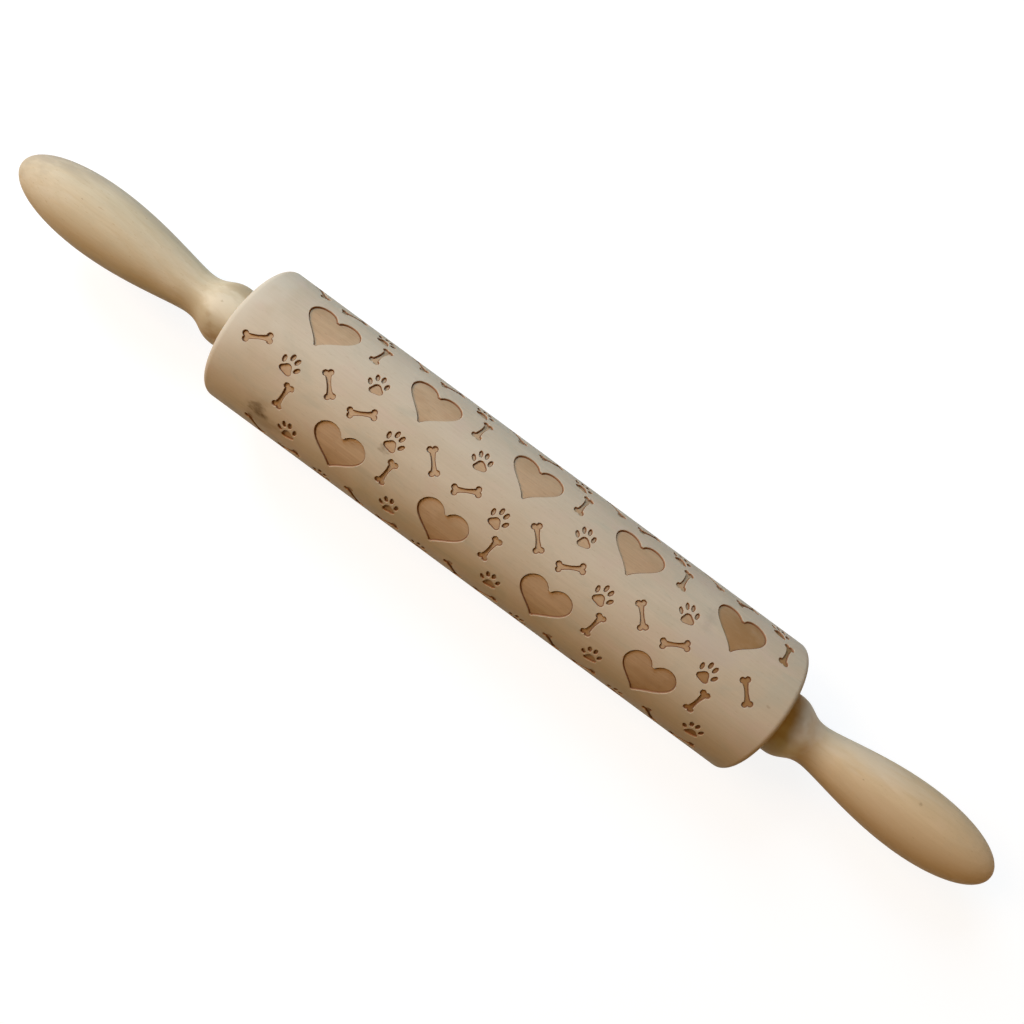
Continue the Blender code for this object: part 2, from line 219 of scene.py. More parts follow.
# Places worked out from the sizes above
AXIS_HEIGHT = BARREL_RADIUS
BARREL_END = BARREL_LENGTH / 2
SKIN_END = BARREL_END - RIM_ROUNDING
GIRTH = FULL_TURN * BARREL_RADIUS
WASHER_PLACE = BARREL_END + RUNNING_GAP
FOOT_PLACE = WASHER_PLACE + WASHER_THICKNESS + SEAT_GAP
CLOSE = 0.001 * MM
LEVEL = 0.99
SHARP_TURN = math.radians(30)

# Studio. Each lamp has its name, its direction from the pin, its power and its colour
FLOOR_WIDTH = 6
FLOOR_SQUARES = 8
FLOOR_COLOUR = (0.55, 0.48, 0.39)
FLOOR_SHADOW_SHARE = 0.2
FLOOR_LIGHT = 0.62
FLOOR_SHADE_FADES = (0.32, 0.8)
LAMP_DISTANCE = 1.3
LAMP_SIZE = 0.55
LAMPS = (
    ("cool_window", (-0.6, 0.5, 0.62), 17.1, (0.47, 0.72, 1.0)),
    ("warm_window", (-0.7, 0.0, 0.7), 12.4, (1.0, 0.71, 0.43)),
    ("warm_room", (0.7, 0.0, 0.7), 3.1, (1.0, 0.56, 0.1)),
)
CAMERA_LENS = 31.0
CAMERA_SENSOR = 36
CAMERA_SIGHT = (0.01, 20)
CAMERA_TURN = math.radians(36.4)
CAMERA_PLACE = (-0.06 * MM, 3.41 * MM, AXIS_HEIGHT + 325.1 * MM)


# Bench work: small steps that every piece is made with


def clear_bench():
    """Nothing selected, so that the next tool touches only the next piece."""
    if bpy.context.object and bpy.context.object.mode != "OBJECT":
        bpy.ops.object.mode_set(mode="OBJECT")
    bpy.ops.object.select_all(action="DESELECT")


def take_up(*pieces):
    """These pieces alone on the bench, the first of them in hand."""
    clear_bench()
    for piece in pieces:
        piece.select_set(True)
    bpy.context.view_layer.objects.active = pieces[0]


def settle():
    """The place and turn of what is on the bench, taken into its mesh."""
    bpy.ops.object.transform_apply(location=True, rotation=True, scale=True)


def edit():
    """Into the piece on the bench, working with corner points."""
    bpy.ops.object.mode_set(mode="EDIT")
    bpy.ops.mesh.select_mode(type="VERT")


def pick(kind, wanted):
    """Selects the edges or the faces of the piece in hand that answer to wanted, and nothing else."""
    bpy.ops.mesh.select_mode(type=kind)
    bpy.ops.mesh.select_all(action="DESELECT")
    mesh = bpy.context.object.data
    work = bmesh.from_edit_mesh(mesh)
    work.normal_update()
    for part in work.edges if kind == "EDGE" else work.faces:
        part.select_set(wanted(part))
    work.select_flush_mode()
    bmesh.update_edit_mesh(mesh)


def draw_line(name, points, closed=False):
    """A line of edges, drawn by pulling one corner point out of the last. Left in edit mode."""
    clear_bench()
    bpy.ops.mesh.primitive_plane_add(size=1 * MM)
    line = bpy.context.object
    line.name = line.data.name = name
    edit()
    bpy.ops.mesh.merge(type="CENTER")
    bpy.ops.transform.translate(value=points[0])
    path = list(points) + ([points[0]] if closed else [])
    for near, far in zip(path, path[1:]):
        bpy.ops.mesh.extrude_vertices_move(TRANSFORM_OT_translate={"value": far - near})
    bpy.ops.mesh.select_all(action="SELECT")
    if closed:
        bpy.ops.mesh.remove_doubles(threshold=CLOSE)
    return line


def close_up():
    """Merges what meets, turns the faces outwards and smooths the piece but for its sharp edges."""
    bpy.ops.mesh.select_mode(type="VERT")
    bpy.ops.mesh.select_all(action="SELECT")
    bpy.ops.mesh.remove_doubles(threshold=CLOSE)
    bpy.ops.mesh.delete_loose()
    bpy.ops.mesh.select_all(action="SELECT")
    bpy.ops.mesh.normals_make_consistent(inside=False)
    if bmesh.from_edit_mesh(bpy.context.object.data).calc_volume(signed=True) < 0:
        bpy.ops.mesh.flip_normals()
    bpy.ops.object.mode_set(mode="OBJECT")
    bpy.ops.object.shade_smooth_by_angle(angle=SHARP_TURN)


def turn_on_lathe(name, profile, sides, ring=False):
    """A profile of (place, radius) points, spun once round the axle's line."""
    points = [Vector((place, 0, AXIS_HEIGHT + radius)) for place, radius in profile]
    piece = draw_line(name, points, closed=ring)
    bpy.ops.mesh.spin(steps=sides, angle=FULL_TURN, center=(0, 0, AXIS_HEIGHT), axis=(1, 0, 0))
    close_up()
    return piece


def other_end(piece, name):
    """The same piece made once more for the pin's left end, turned about the upright through the middle."""
    twin = piece.copy()
    twin.data = piece.data.copy()
    twin.name = twin.data.name = name
    bpy.context.scene.collection.objects.link(twin)
    twin.rotation_euler.z = math.pi
    take_up(twin)
    settle()
    return twin


def fit(piece, node, body, finish=None):
    """The piece stands for its CAD node, moves with its body and gets its finish."""
    if finish:
        piece.data.materials.append(finish)
    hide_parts(node)
    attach(piece, body)


# Finishes


def new_finish(name):
    """An empty recipe: its node tree, its shader, and where a point of the piece lies, in mm from the axle's line."""
    finish = bpy.data.materials.new(name)
    finish.use_nodes = True
    tree = finish.node_tree
    shader = tree.nodes["Principled BSDF"]
    place = {"Vector": add(tree, "TexCoord").outputs["Object"], "Location": (0, 0, -AXIS_HEIGHT / MM)}
    return finish, tree, shader, add(tree, "Mapping", {**place, "Scale": (1 / MM,) * 3}).outputs["Vector"]


def coat(tree, shader, colour, roughness, height, depth, strength, gloss):
    """What a finish comes to: its colour, its roughness, a relief this deep, and how much it mirrors."""
    relief = add(tree, "Bump", {"Height": height, "Distance": depth, "Strength": strength})
    feed(tree, shader.inputs["Base Color"], colour)
    feed(tree, shader.inputs["Roughness"], roughness)
    feed(tree, shader.inputs["Normal"], relief.outputs["Normal"])
    feed(tree, shader.inputs["Specular IOR Level"], gloss)


def feed(tree, socket, value):
    """Gives an input its value, or joins it to the output that feeds it. A colour gets its full cover."""
    if isinstance(value, bpy.types.NodeSocket):
        tree.links.new(value, socket)
    elif socket.type == "RGBA":
        socket.default_value = (*value, 1)
    else:
        socket.default_value = value


def add(tree, kind, inputs=None, **settings):
    """One node: its settings, and its inputs given as values or as the outputs that feed them."""
    node = tree.nodes.new("ShaderNode" + kind)
    for name, value in settings.items():
        setattr(node, name, value)
    for name, value in (inputs or {}).items():
        feed(tree, node.inputs[name], value)
    return node


def stretched(tree, place, along, across):
    """The place, scaled so that a pattern runs along the pin: how dense it is along and across."""
    return add(tree, "Mapping", {"Vector": place, "Scale": (along, across, across)}).outputs["Vector"]


def cloud(tree, place, density, detail=3.0, roughness=0.55, distortion=0.0):
    """A soft random pattern between 0 and 1."""
    inputs = {"Vector": place, "Scale": density, "Detail": detail, "Roughness": roughness, "Distortion": distortion}
    return add(tree, "TexNoise", inputs).outputs["Fac"]


def spread(tree, value, low, high, new_low=0.0, new_high=1.0):
    """The part of a pattern between low and high, spread smoothly over the new range."""
    inputs = {"Value": value, "From Min": low, "From Max": high, "To Min": new_low, "To Max": new_high}
    return add(tree, "MapRange", inputs, interpolation_type="SMOOTHSTEP").outputs["Result"]


def sums(tree, kind, first, second):
    """One sum on two numbers or patterns."""
    return add(tree, "Math", {0: first, 1: second}, operation=kind).outputs["Value"]


def shifted(tree, kind, place, by):
    """A place after one sum with another."""
    return add(tree, "VectorMath", {0: place, 1: by}, operation=kind).outputs["Vector"]


def length(tree, place):
    """How far a place lies from the origin."""
    return add(tree, "VectorMath", {0: place}, operation="LENGTH").outputs["Value"]


def from_axle(tree, place):
    """How far a place lies from the axle's line."""
    return length(tree, shifted(tree, "MULTIPLY", place, (0, 1, 1)))


def tint(tree, share, under, over, blend="MIX"):
    """One colour laid over another: share is how much of it shows."""
    factor, first, second = 0, 6, 7
    node = add(tree, "Mix", data_type="RGBA", blend_type=blend)
    for socket, value in ((factor, share), (first, under), (second, over)):
        feed(tree, node.inputs[socket], value)
    return node.outputs[2]


def growth_rings(tree, place, pith, width, wander):
    """The tree's yearly rings, round a pith that runs beside the pin: 0 in early wood, 1 in late wood."""
    drift = add(tree, "TexNoise", {"Vector": stretched(tree, place, 0.006, 0.03), "Scale": 1.0, "Detail": 2.0})
    swing = shifted(tree, "SUBTRACT", drift.outputs["Color"], (0.5, 0.5, 0.5))
    bent = shifted(tree, "ADD", place, shifted(tree, "MULTIPLY", swing, (wander,) * 3))
    away = from_axle(tree, shifted(tree, "SUBTRACT", bent, (0, *pith)))
    year = sums(tree, "FRACT", sums(tree, "DIVIDE", away, width), 0)
    return sums(tree, "MULTIPLY", spread(tree, year, 0.0, 0.85), spread(tree, year, 0.86, 1.0, 1.0, 0.0))


def wood(tree, place, tones, late, ring_share, pith, ring_width, fibre_share, fleck, fleck_share):
    """Bare turned wood: its colour, and how high its fibres stand. Tones are pale, warm, grey and rosy."""
    pale, warm, grey, rosy = tones
    broad = spread(tree, cloud(tree, stretched(tree, place, 0.016, 0.032), 1.0, 3.0, 0.55, 0.8), 0.36, 0.64)
    colour = tint(tree, broad, pale, warm)
    patches = cloud(tree, stretched(tree, place, 0.045, 0.085), 1.0, 4.0, 0.55, 1.2)
    colour = tint(tree, spread(tree, patches, 0.50, 0.72, 0.0, 0.7), colour, grey)
    colour = tint(tree, spread(tree, patches, 0.28, 0.50, 0.7, 0.0), colour, rosy)
    rings = growth_rings(tree, place, pith, ring_width, wander=9.0)
    colour = tint(tree, sums(tree, "MULTIPLY", rings, ring_share), colour, late)
    fibres = cloud(tree, stretched(tree, place, 0.05, 1.4), 1.0, 6.0, 0.65)
    shade = spread(tree, fibres, 0.3, 0.7, 1 - fibre_share, 1 + fibre_share)
    grey_shade = add(tree, "CombineColor", {"Red": shade, "Green": shade, "Blue": shade}).outputs[0]
    colour = tint(tree, 1.0, colour, grey_shade, "MULTIPLY")
    flecks = cloud(tree, stretched(tree, place, 0.45, 2.6), 1.0, 1.0, 0.4)
    colour = tint(tree, spread(tree, flecks, 0.66, 0.76, 0.0, fleck_share), colour, fleck)
    pores = cloud(tree, stretched(tree, place, 0.2, 5.0), 1.0, 2.0, 0.5)
    height = sums(tree, "SUBTRACT", fibres, spread(tree, pores, 0.6, 0.75, 0.0, 0.6))
    return colour, height


def stain_and_painted_light(tree, place, colour, centre, reach, share, patch_colour):
    """One ragged patch on the wood, strongest in its middle: natural stains and knots, and painted highlight and shade.
    """
    along, across = reach
    inside = shifted(tree, "MULTIPLY", shifted(tree, "SUBTRACT", place, centre), (1 / along, 1 / across, 1 / across))
    away = length(tree, inside)
    rag = cloud(tree, stretched(tree, place, 0.8 / along, 1.2 / across), 1.0, 3.0, 0.6)
    away = sums(tree, "ADD", away, spread(tree, rag, 0.3, 0.7, -0.35, 0.35))
    return tint(tree, spread(tree, away, 0.15, 1.0, share, 0.0), colour, patch_colour)


def turned_beech():
    """The barrel's skin: fine pale beech with a cloudy tone, the grey stains that its tree left in it, and a painted
    highlight at the left rim.
    """
    finish, tree, shader, place = new_finish("turned_beech")
    colour, height = wood(
        tree, place, BEECH_TONES, late=(0.44, 0.345, 0.24), ring_share=0.08, **BEECH_LOG,
        fibre_share=0.03, fleck=(0.33, 0.22, 0.14), fleck_share=0.22,
    )
    # Natural stains, and a painted highlight over the left rim
    for mark in BARREL_STAINS_AND_PAINTED_LIGHT:
        colour = stain_and_painted_light(tree, place, colour, *mark)
    coat(tree, shader, colour, spread(tree, height, 0.2, 0.8, 0.68, 0.56), height, 0.02 * MM, 0.4, BARE_WOOD_GLOSS)
    return finish


def scorched_and_shaded_wall():
    """The engraving's walls and a thin band of floor along their foot: browned at the skin, darker towards the floor,
    the dark partly char and partly painted shade.
    """
    finish, tree, shader, place = new_finish("scorched_and_shaded_wall")
    top, floor = (BARREL_RADIUS - EDGE_WEAR) / MM, (BARREL_RADIUS - ENGRAVING_DEPTH) / MM
    depth = spread(tree, from_axle(tree, place), floor, top, 1.0, 0.0)
    # The darkest colour, at the floor and on the band along the walls' foot, is partly char and partly painted shade
    browned, charred_and_shaded, sooty = (0.34, 0.19, 0.105), (0.19, 0.085, 0.04), (0.26, 0.13, 0.065)
    soot = cloud(tree, stretched(tree, place, 0.8, 2.0), 1.0, 4.0)
    colour = tint(tree, spread(tree, soot, 0.35, 0.75, 0.0, 0.5), tint(tree, depth, browned, charred_and_shaded), sooty)
    coat(tree, shader, colour, 0.8, soot, 0.05 * MM, 0.7, BARE_WOOD_GLOSS)
    return finish


def engraved_floor():
    """The engraving's floor: toasted beech with its fibres standing out, burnt darker towards the right end."""
    finish, tree, shader, place = new_finish("engraved_floor")
    smoked, burnt = (0.37, 0.225, 0.115), (0.29, 0.155, 0.06)
    colour, height = wood(
        tree, place, TOASTED_TONES, late=(0.36, 0.22, 0.125), ring_share=0.25, **BEECH_LOG,
        fibre_share=0.06, fleck=(0.24, 0.13, 0.065), fleck_share=0.3,
    )
    smoke = cloud(tree, stretched(tree, place, 0.10, 0.16), 1.0, 3.0, 0.6)
    colour = tint(tree, spread(tree, smoke, 0.40, 0.75, 0.0, 0.45), colour, smoked)
    along = add(tree, "SeparateXYZ", {"Vector": place}).outputs["X"]
    hotter = sums(tree, "MULTIPLY", spread(tree, along, 55.0, 95.0), spread(tree, smoke, 0.2, 0.6, 0.55, 0.95))
    colour = tint(tree, hotter, colour, burnt)
    coat(tree, shader, colour, 0.78, height, 0.08 * MM, 0.8, BARE_WOOD_GLOSS)
    return finish


def turned_lime(name, tones, late, log, figure, knots_and_painted_light):
    """A handle: yellower wood with fine lengthwise streaks, small specks, faint turning marks, knots, and patches of
    painted highlight and painted shade.

    Figure is how lively its grain is.
    """
    finish, tree, shader, place = new_finish(name)
    colour, height = wood(
        tree, place, tones, late, ring_share=0.11 * figure, **log,
        fibre_share=0.02 * figure, fleck=(0.36, 0.22, 0.11), fleck_share=0.2 * figure,
    )
    streaks = cloud(tree, stretched(tree, place, 0.015, 0.55), 1.0, 5.0, 0.6)
    colour = tint(tree, spread(tree, streaks, 0.48, 0.75, 0.0, 0.14 * figure), colour, late)
    specks = add(tree, "TexVoronoi", {"Vector": stretched(tree, place, 0.10, 0.22), "Scale": 1.0, "Randomness": 1.0})
    colour = tint(tree, spread(tree, specks.outputs["Distance"], 0.02, 0.06, 0.5, 0.0), colour, (0.25, 0.14, 0.07))
    # Knots, and patches of painted highlight and painted shade
    for mark in knots_and_painted_light:
        colour = stain_and_painted_light(tree, place, colour, *mark)
    roughness = spread(tree, height, 0.2, 0.8, 0.62, 0.5)
    rings = {"Vector": place, "Scale": 0.9, "Distortion": 0.4, "Detail": 1.0}
    turning = add(tree, "TexWave", rings, bands_direction="X").outputs["Fac"]
    height = sums(tree, "ADD", height, sums(tree, "MULTIPLY", turning, 0.12))
    coat(tree, shader, colour, roughness, height, 0.03 * MM, 0.5, BARE_WOOD_GLOSS)
    return finish


def machined_metal(name, colour, roughness, wear):
    """A metal part from the lathe: fine rings round its own axis, smeared by use."""
    finish, tree, shader, place = new_finish(name)
    along = add(tree, "SeparateXYZ", {"Vector": place}).outputs["X"]
    rings = add(tree, "CombineXYZ", {"X": along, "Y": from_axle(tree, place)})
    lines = cloud(tree, rings.outputs["Vector"], 9.0, 3.0, 0.6)
    smear = cloud(tree, place, 0.35, 4.0, 0.6)
    worn = tuple(0.72 * part for part in colour)
    colour = tint(tree, spread(tree, smear, 0.35, 0.7, 0.0, wear), colour, worn)
    smeared = spread(tree, smear, 0.3, 0.7, roughness, roughness + 0.12)
    rough = sums(tree, "ADD", spread(tree, lines, 0.3, 0.7, -0.06, 0.08), smeared)
    shader.inputs["Metallic"].default_value = 1.0
    coat(tree, shader, colour, rough, lines, 0.01 * MM, 0.5, 0.5)
    return finish


def moulded_nylon():
    """The bushes: off-white nylon with the faint frost of its mould."""
    finish, tree, shader, place = new_finish("moulded_nylon")
    frost = cloud(tree, place, 3.0, 4.0, 0.6)
    colour = tint(tree, spread(tree, cloud(tree, place, 0.2, 2.0), 0.35, 0.7), (0.80, 0.78, 0.71), (0.74, 0.71, 0.62))
    shader.inputs["Subsurface Weight"].default_value = 0.15
    shader.inputs["Subsurface Radius"].default_value = (1.0, 0.9, 0.7)
    shader.inputs["Subsurface Scale"].default_value = 1 * MM
    coat(tree, shader, colour, spread(tree, frost, 0.3, 0.7, 0.42, 0.55), frost, 0.01 * MM, 0.5, 0.5)
    return finish


# The engraved figures, drawn flat: X along the barrel, the second coordinate round it


def heart_outline():
    """A plain heart, tip down, fitted to its width and height, its cleft and tip a cutter's width blunt."""
    turns = [FULL_TURN * step / HEART_POINTS for step in range(HEART_POINTS)]
    rises = [sum(share * math.cos(wave * turn) for wave, share in enumerate(HEART_WAVE_SHARES, 1)) for turn in turns]
    middle = (max(rises) + min(rises)) / 2
    stretch = HEART_HEIGHT / (max(rises) - min(rises))
    points = [
        Vector((-HEART_WIDTH / 2 * math.sin(turn) ** 3, (rise - middle) * stretch))
        for turn, rise in zip(turns, rises)
    ]
    return [point for point in points if abs(point.x) > HEART_BLUNTNESS]


def bone_outline():
    """A bone along X: a waisted shaft between two pairs of round knobs, each pair with a notch."""
    aside = KNOB_RADIUS * KNOB_SPREAD_SHARE
    centre = Vector((BONE_LENGTH / 2 - KNOB_RADIUS, aside))
    shaft_turn = math.pi + math.asin((aside - BONE_SHAFT_WIDTH / 2) / KNOB_RADIUS)
    notch_turn = -math.asin(aside / KNOB_RADIUS)
    knob = []
    for step in range(KNOB_STEPS + 1):
        turn = notch_turn + (shaft_turn - notch_turn) * step / KNOB_STEPS
        knob.append(centre + KNOB_RADIUS * Vector((math.cos(turn), math.sin(turn))))
    right_end = [Vector((point.x, -point.y)) for point in reversed(knob[1:])] + knob
    left_end = [-point for point in right_end]
    thin = BONE_WAIST_WIDTH / 2
    waist = []
    for step in range(1, 2 * WAIST_STEPS):
        share = 1 - step / WAIST_STEPS
        waist.append(Vector((knob[-1].x * share, thin + (knob[-1].y - thin) * share**2)))
    return right_end + waist + left_end + [-point for point in waist]


def paw_outlines():
    """A paw print: four oval toes over a three-lobed pad."""
    outlines = []
    for place, lean in zip(TOE_PLACE_SHARES, TOE_LEANS):
        toe = []
        for step in range(TOE_POINTS):
            turn = FULL_TURN * step / TOE_POINTS
            oval = Vector((TOE_SIZE_SHARES[0] * math.cos(turn), TOE_SIZE_SHARES[1] * math.sin(turn)))
            toe.append(PAW_WIDTH * (Vector(place) + Matrix.Rotation(lean, 2) @ oval))
        outlines.append(toe)
    pad = []
    for step in range(PAD_POINTS):
        turn = math.pi / 2 + FULL_TURN * step / PAD_POINTS
        swell = 1 + PAD_LOBE_SHARE * math.cos(PAD_LOBES * (turn - math.pi / 2))
        oval = Vector((PAD_SIZE_SHARES[0] * math.cos(turn), PAD_SIZE_SHARES[1] * math.sin(turn)))
        pad.append(PAW_WIDTH * (Vector(PAD_PLACE_SHARES) + swell * oval))
    outlines.append(pad)
    return outlines


def grown(outline, by):
    """An anticlockwise outline, moved outwards by the same distance all round."""
    moved = []
    for before, point, after in zip(outline[-1:] + outline[:-1], outline, outline[1:] + outline[:1]):
        first, second = (point - before).normalized(), (after - point).normalized()
        out = Vector((first.y + second.y, -first.x - second.x)).normalized()
        moved.append(point + out * by / max(SHARPEST_MITRE, out.dot(Vector((first.y, -first.x)))))
    return moved


def figure_cutter(name, outlines):
    """One figure as a solid tool on the flat barrel skin, sunk from a worn edge to its scorched floor, with a band of
    painted shade and char along the wall's foot.

    The skin lies in the plane of X and Z and faces -Y, so the tool goes down along +Y.
    """
    parts = []
    reach = CUTTER_CLEARANCE + EDGE_WEAR
    for outline in outlines:
        rim = [Vector((point.x, -CUTTER_CLEARANCE, point.y)) for point in grown(outline, reach)]
        parts.append(draw_line(name, rim, closed=True))
        bpy.ops.mesh.edge_face_add()
        bpy.ops.mesh.extrude_region_move(TRANSFORM_OT_translate={"value": (0, CUTTER_LIP, 0)})
        bpy.ops.mesh.select_all(action="SELECT")
        bpy.ops.mesh.normals_make_consistent(inside=False)
        pick("FACE", lambda face: face.normal.y > LEVEL)
        bpy.ops.mesh.inset(thickness=reach, depth=reach - CUTTER_LIP)
        bpy.ops.mesh.inset(thickness=WALL_DRAFT, depth=ENGRAVING_DEPTH - EDGE_WEAR)
        # A thin band of the floor along the wall, which takes the wall's dark finish: painted shade and char
        bpy.ops.mesh.inset(thickness=SCORCHED_AND_SHADED_BAND, depth=0)
        bpy.ops.object.mode_set(mode="OBJECT")
    take_up(*parts)
    if len(parts) > 1:
        bpy.ops.object.join()
    cutter = bpy.context.object
    for finish in BARREL_FINISHES:
        cutter.data.materials.append(finish)
    # Floor faces get the floor's finish; the walls and the band along their foot get the dark wall finish, partly
    # painted shade
    for face in cutter.data.polygons:
        on_floor = face.normal.y > LEVEL and len(face.vertices) > 4
        face.material_index = 2 if on_floor else 1 if face.center.y > EDGE_WEAR else 0
    return cutter


def figure_places():
    """Every figure of the pattern: kind, place along, place round from the top, and turn."""
    pattern_end = BARREL_END - PATTERN_MARGIN
    columns = max(1, round(2 * pattern_end / COLUMN_PITCH))
    rows = max(2, round(GIRTH / ROW_PITCH))
    column_pitch = 2 * pattern_end / columns
    row_pitch = GIRTH / rows
    row_shift = round(rows * ROW_SHIFT_SHARE) / rows
    for row in range(rows):
        across = FIRST_ROW_TURN * BARREL_RADIUS + row * row_pitch
        for column in range(-1, columns + 1):
            along = -pattern_end + (column + 1 / 2 + row * row_shift % 1) * column_pitch
            for kind, along_share, across_share, turn in (("heart", 0, 0, 0),) + SMALL_FIGURE_SHARES:
                yield kind, along + along_share * column_pitch, across + across_share * row_pitch, turn


def joined_cutters():
    """All the figures as one tool, each copied to its place, twice where it lies over the seam."""
    patterns = {
        "heart": [heart_outline()],
        "bone": [bone_outline()],
        "paw": paw_outlines(),
    }
    tools = {kind: figure_cutter(f"{kind}_cutter", outlines) for kind, outlines in patterns.items()}
    pattern_end = BARREL_END - PATTERN_MARGIN
    placed = []
    for kind, along, across, turn in figure_places():
        points = [Matrix.Rotation(turn, 2) @ point for outline in patterns[kind] for point in outline]
        if max(abs(point.x + along) for point in points) > pattern_end:
            continue
        low = across + min(point.y for point in points)
        high = across + max(point.y for point in points)
        for lap in range(-2, 3):
            if low - lap * GIRTH < GIRTH / 2 and high - lap * GIRTH > -GIRTH / 2:
                copy = tools[kind].copy()
                copy.data = tools[kind].data.copy()
                bpy.context.scene.collection.objects.link(copy)
                copy.location = (along, 0, across - lap * GIRTH)
                copy.rotation_euler.y = -turn
                placed.append(copy)
    for tool in tools.values():
        bpy.data.objects.remove(tool)
    take_up(*placed)
    settle()
    bpy.ops.object.join()
    return bpy.context.object


def barrel_end_profile():
    """From the skin's edge over the rim, across the end face and into the bush's seat."""
    profile = []
    for step in range(1, RIM_STEPS + 1):
        turn = math.pi / 2 * step / RIM_STEPS
        place = SKIN_END + RIM_ROUNDING * math.sin(turn)
        profile.append((place, BARREL_RADIUS - RIM_ROUNDING * (1 - math.cos(turn))))
    flange_floor = BARREL_END - FLANGE_THICKNESS - SEAT_GAP
    bush_floor = BARREL_END - BUSH_LENGTH - SEAT_GAP
    return profile + [
        (BARREL_END, FLANGE_RADIUS + SEAT_GAP),
        (flange_floor, FLANGE_RADIUS + SEAT_GAP),
        (flange_floor, BUSH_RADIUS + SEAT_GAP),
        (bush_floor, BUSH_RADIUS + SEAT_GAP),
        (bush_floor, BORE_RADIUS),
    ]


def make_barrel():
    """A flat slab, engraved by the joined figures, rolled up by bending and closed at its ends."""
    cutter = joined_cutters()
    clear_bench()
    slab = (2 * SKIN_END, SLAB_THICKNESS, GIRTH)
    bpy.ops.mesh.primitive_cube_add(size=1, location=(0, SLAB_THICKNESS / 2, 0), scale=slab)
    settle()
    barrel = bpy.context.object
    barrel.name = barrel.data.name = "engraved_barrel"
    edit()
    for way, cuts in ((2, BARREL_STRIPS - 1), (0, BARREL_RINGS - 1)):
        pick("EDGE", lambda edge: abs(edge.verts[0].co[way] - edge.verts[1].co[way]) > CLOSE)
        bpy.ops.mesh.subdivide(number_cuts=cuts)
    bpy.ops.object.mode_set(mode="OBJECT")
    for finish in BARREL_FINISHES:
        barrel.data.materials.append(finish)
    sinking = barrel.modifiers.new("sink the figures", "BOOLEAN")
    sinking.operation = "DIFFERENCE"
    sinking.solver = "MANIFOLD"
    sinking.object = cutter
    take_up(barrel)
    bpy.ops.object.modifier_apply(modifier=sinking.name)
    bpy.data.objects.remove(cutter)

    take_up(barrel)
    edit()
    pick("FACE", lambda face: max(vert.co.y for vert in face.verts) > ENGRAVING_DEPTH + CLOSE)
    bpy.ops.mesh.delete(type="FACE")
    strip = GIRTH / BARREL_STRIPS
    for step in range(1, BARREL_STRIPS):
        bpy.ops.mesh.select_all(action="SELECT")
        bpy.ops.mesh.bisect(plane_co=(0, 0, -GIRTH / 2 + step * strip), plane_no=(0, 0, 1))
    bpy.ops.object.mode_set(mode="OBJECT")

    rolling = barrel.modifiers.new("roll up", "SIMPLE_DEFORM")
    rolling.deform_method = "BEND"
    rolling.deform_axis = "X"
    rolling.angle = FULL_TURN
    bpy.ops.object.modifier_apply(modifier=rolling.name)
    barrel.rotation_euler.x = -math.pi / 2
    barrel.location.z = AXIS_HEIGHT + BARREL_RADIUS
    settle()

    edit()
    bpy.ops.mesh.select_all(action="SELECT")
    bpy.ops.mesh.remove_doubles(threshold=CLOSE)
    for side in (-1, 1):
        pick("EDGE", lambda edge: edge.is_boundary and all(vert.co.x * side > SKIN_END - CLOSE for vert in edge.verts))
        place, radius = SKIN_END, BARREL_RADIUS
        for next_place, next_radius in barrel_end_profile():
            bpy.ops.mesh.extrude_edges_move(TRANSFORM_OT_translate={"value": (side * (next_place - place), 0, 0)})
            share = next_radius / radius
            if share != 1:
                bpy.ops.transform.resize(value=(1, share, share), center_override=(0, 0, AXIS_HEIGHT))
            place, radius = next_place, next_radius
    pick("EDGE", lambda edge: edge.is_boundary)
    bpy.ops.mesh.bridge_edge_loops()
    close_up()
    return barrel


# The handles and what holds them


def smooth_run(start, end, shares, steps, leaves=(1, 0), arrives=(1, 0)):
    """The points of a smooth curve after its start, with its two tangents along or across the axle."""
    way = end - start
    first_tangent = shares[0] * way * Vector(leaves)
    last_tangent = shares[1] * way * Vector(arrives)
    points = interpolate_bezier(start, start + first_tangent, end - last_tangent, end, steps + 1)
    return [tuple(point) for point in points[1:]]


def handle_profile():
    """Out of the blind hole, across the foot and along bead, neck and grip to the nose."""
    foot = Vector((0, FOOT_RADIUS))
    bead = Vector((BEAD_PLACE, BEAD_RADIUS))
    neck = Vector((NECK_PLACE, NECK_RADIUS))
    grip = Vector((GRIP_PLACE, GRIP_RADIUS))
    nose = Vector((HANDLE_LENGTH, 0))
    hole_end = AXLE_REACH + SEAT_GAP
    insert_floor = INSERT_LENGTH + SEAT_GAP
    profile = [
        (hole_end, 0),
        (hole_end, AXLE_RADIUS + SEAT_GAP),
        (insert_floor, AXLE_RADIUS + SEAT_GAP),
        (insert_floor, INSERT_RADIUS + SEAT_GAP),
        (0, INSERT_RADIUS + SEAT_GAP),
        tuple(foot),
    ]
    profile += smooth_run(foot, bead, BEAD_RISE_SHARES, BEAD_RISE_STEPS, leaves=(0, 1))
    profile += smooth_run(bead, neck, NECK_FALL_SHARES, NECK_FALL_STEPS)
    profile += smooth_run(neck, grip, GRIP_RISE_SHARES, GRIP_RISE_STEPS)
    profile += smooth_run(grip, nose, NOSE_FALL_SHARES, NOSE_FALL_STEPS, arrives=(0, 1))
    return [(FOOT_PLACE + place, radius) for place, radius in profile]


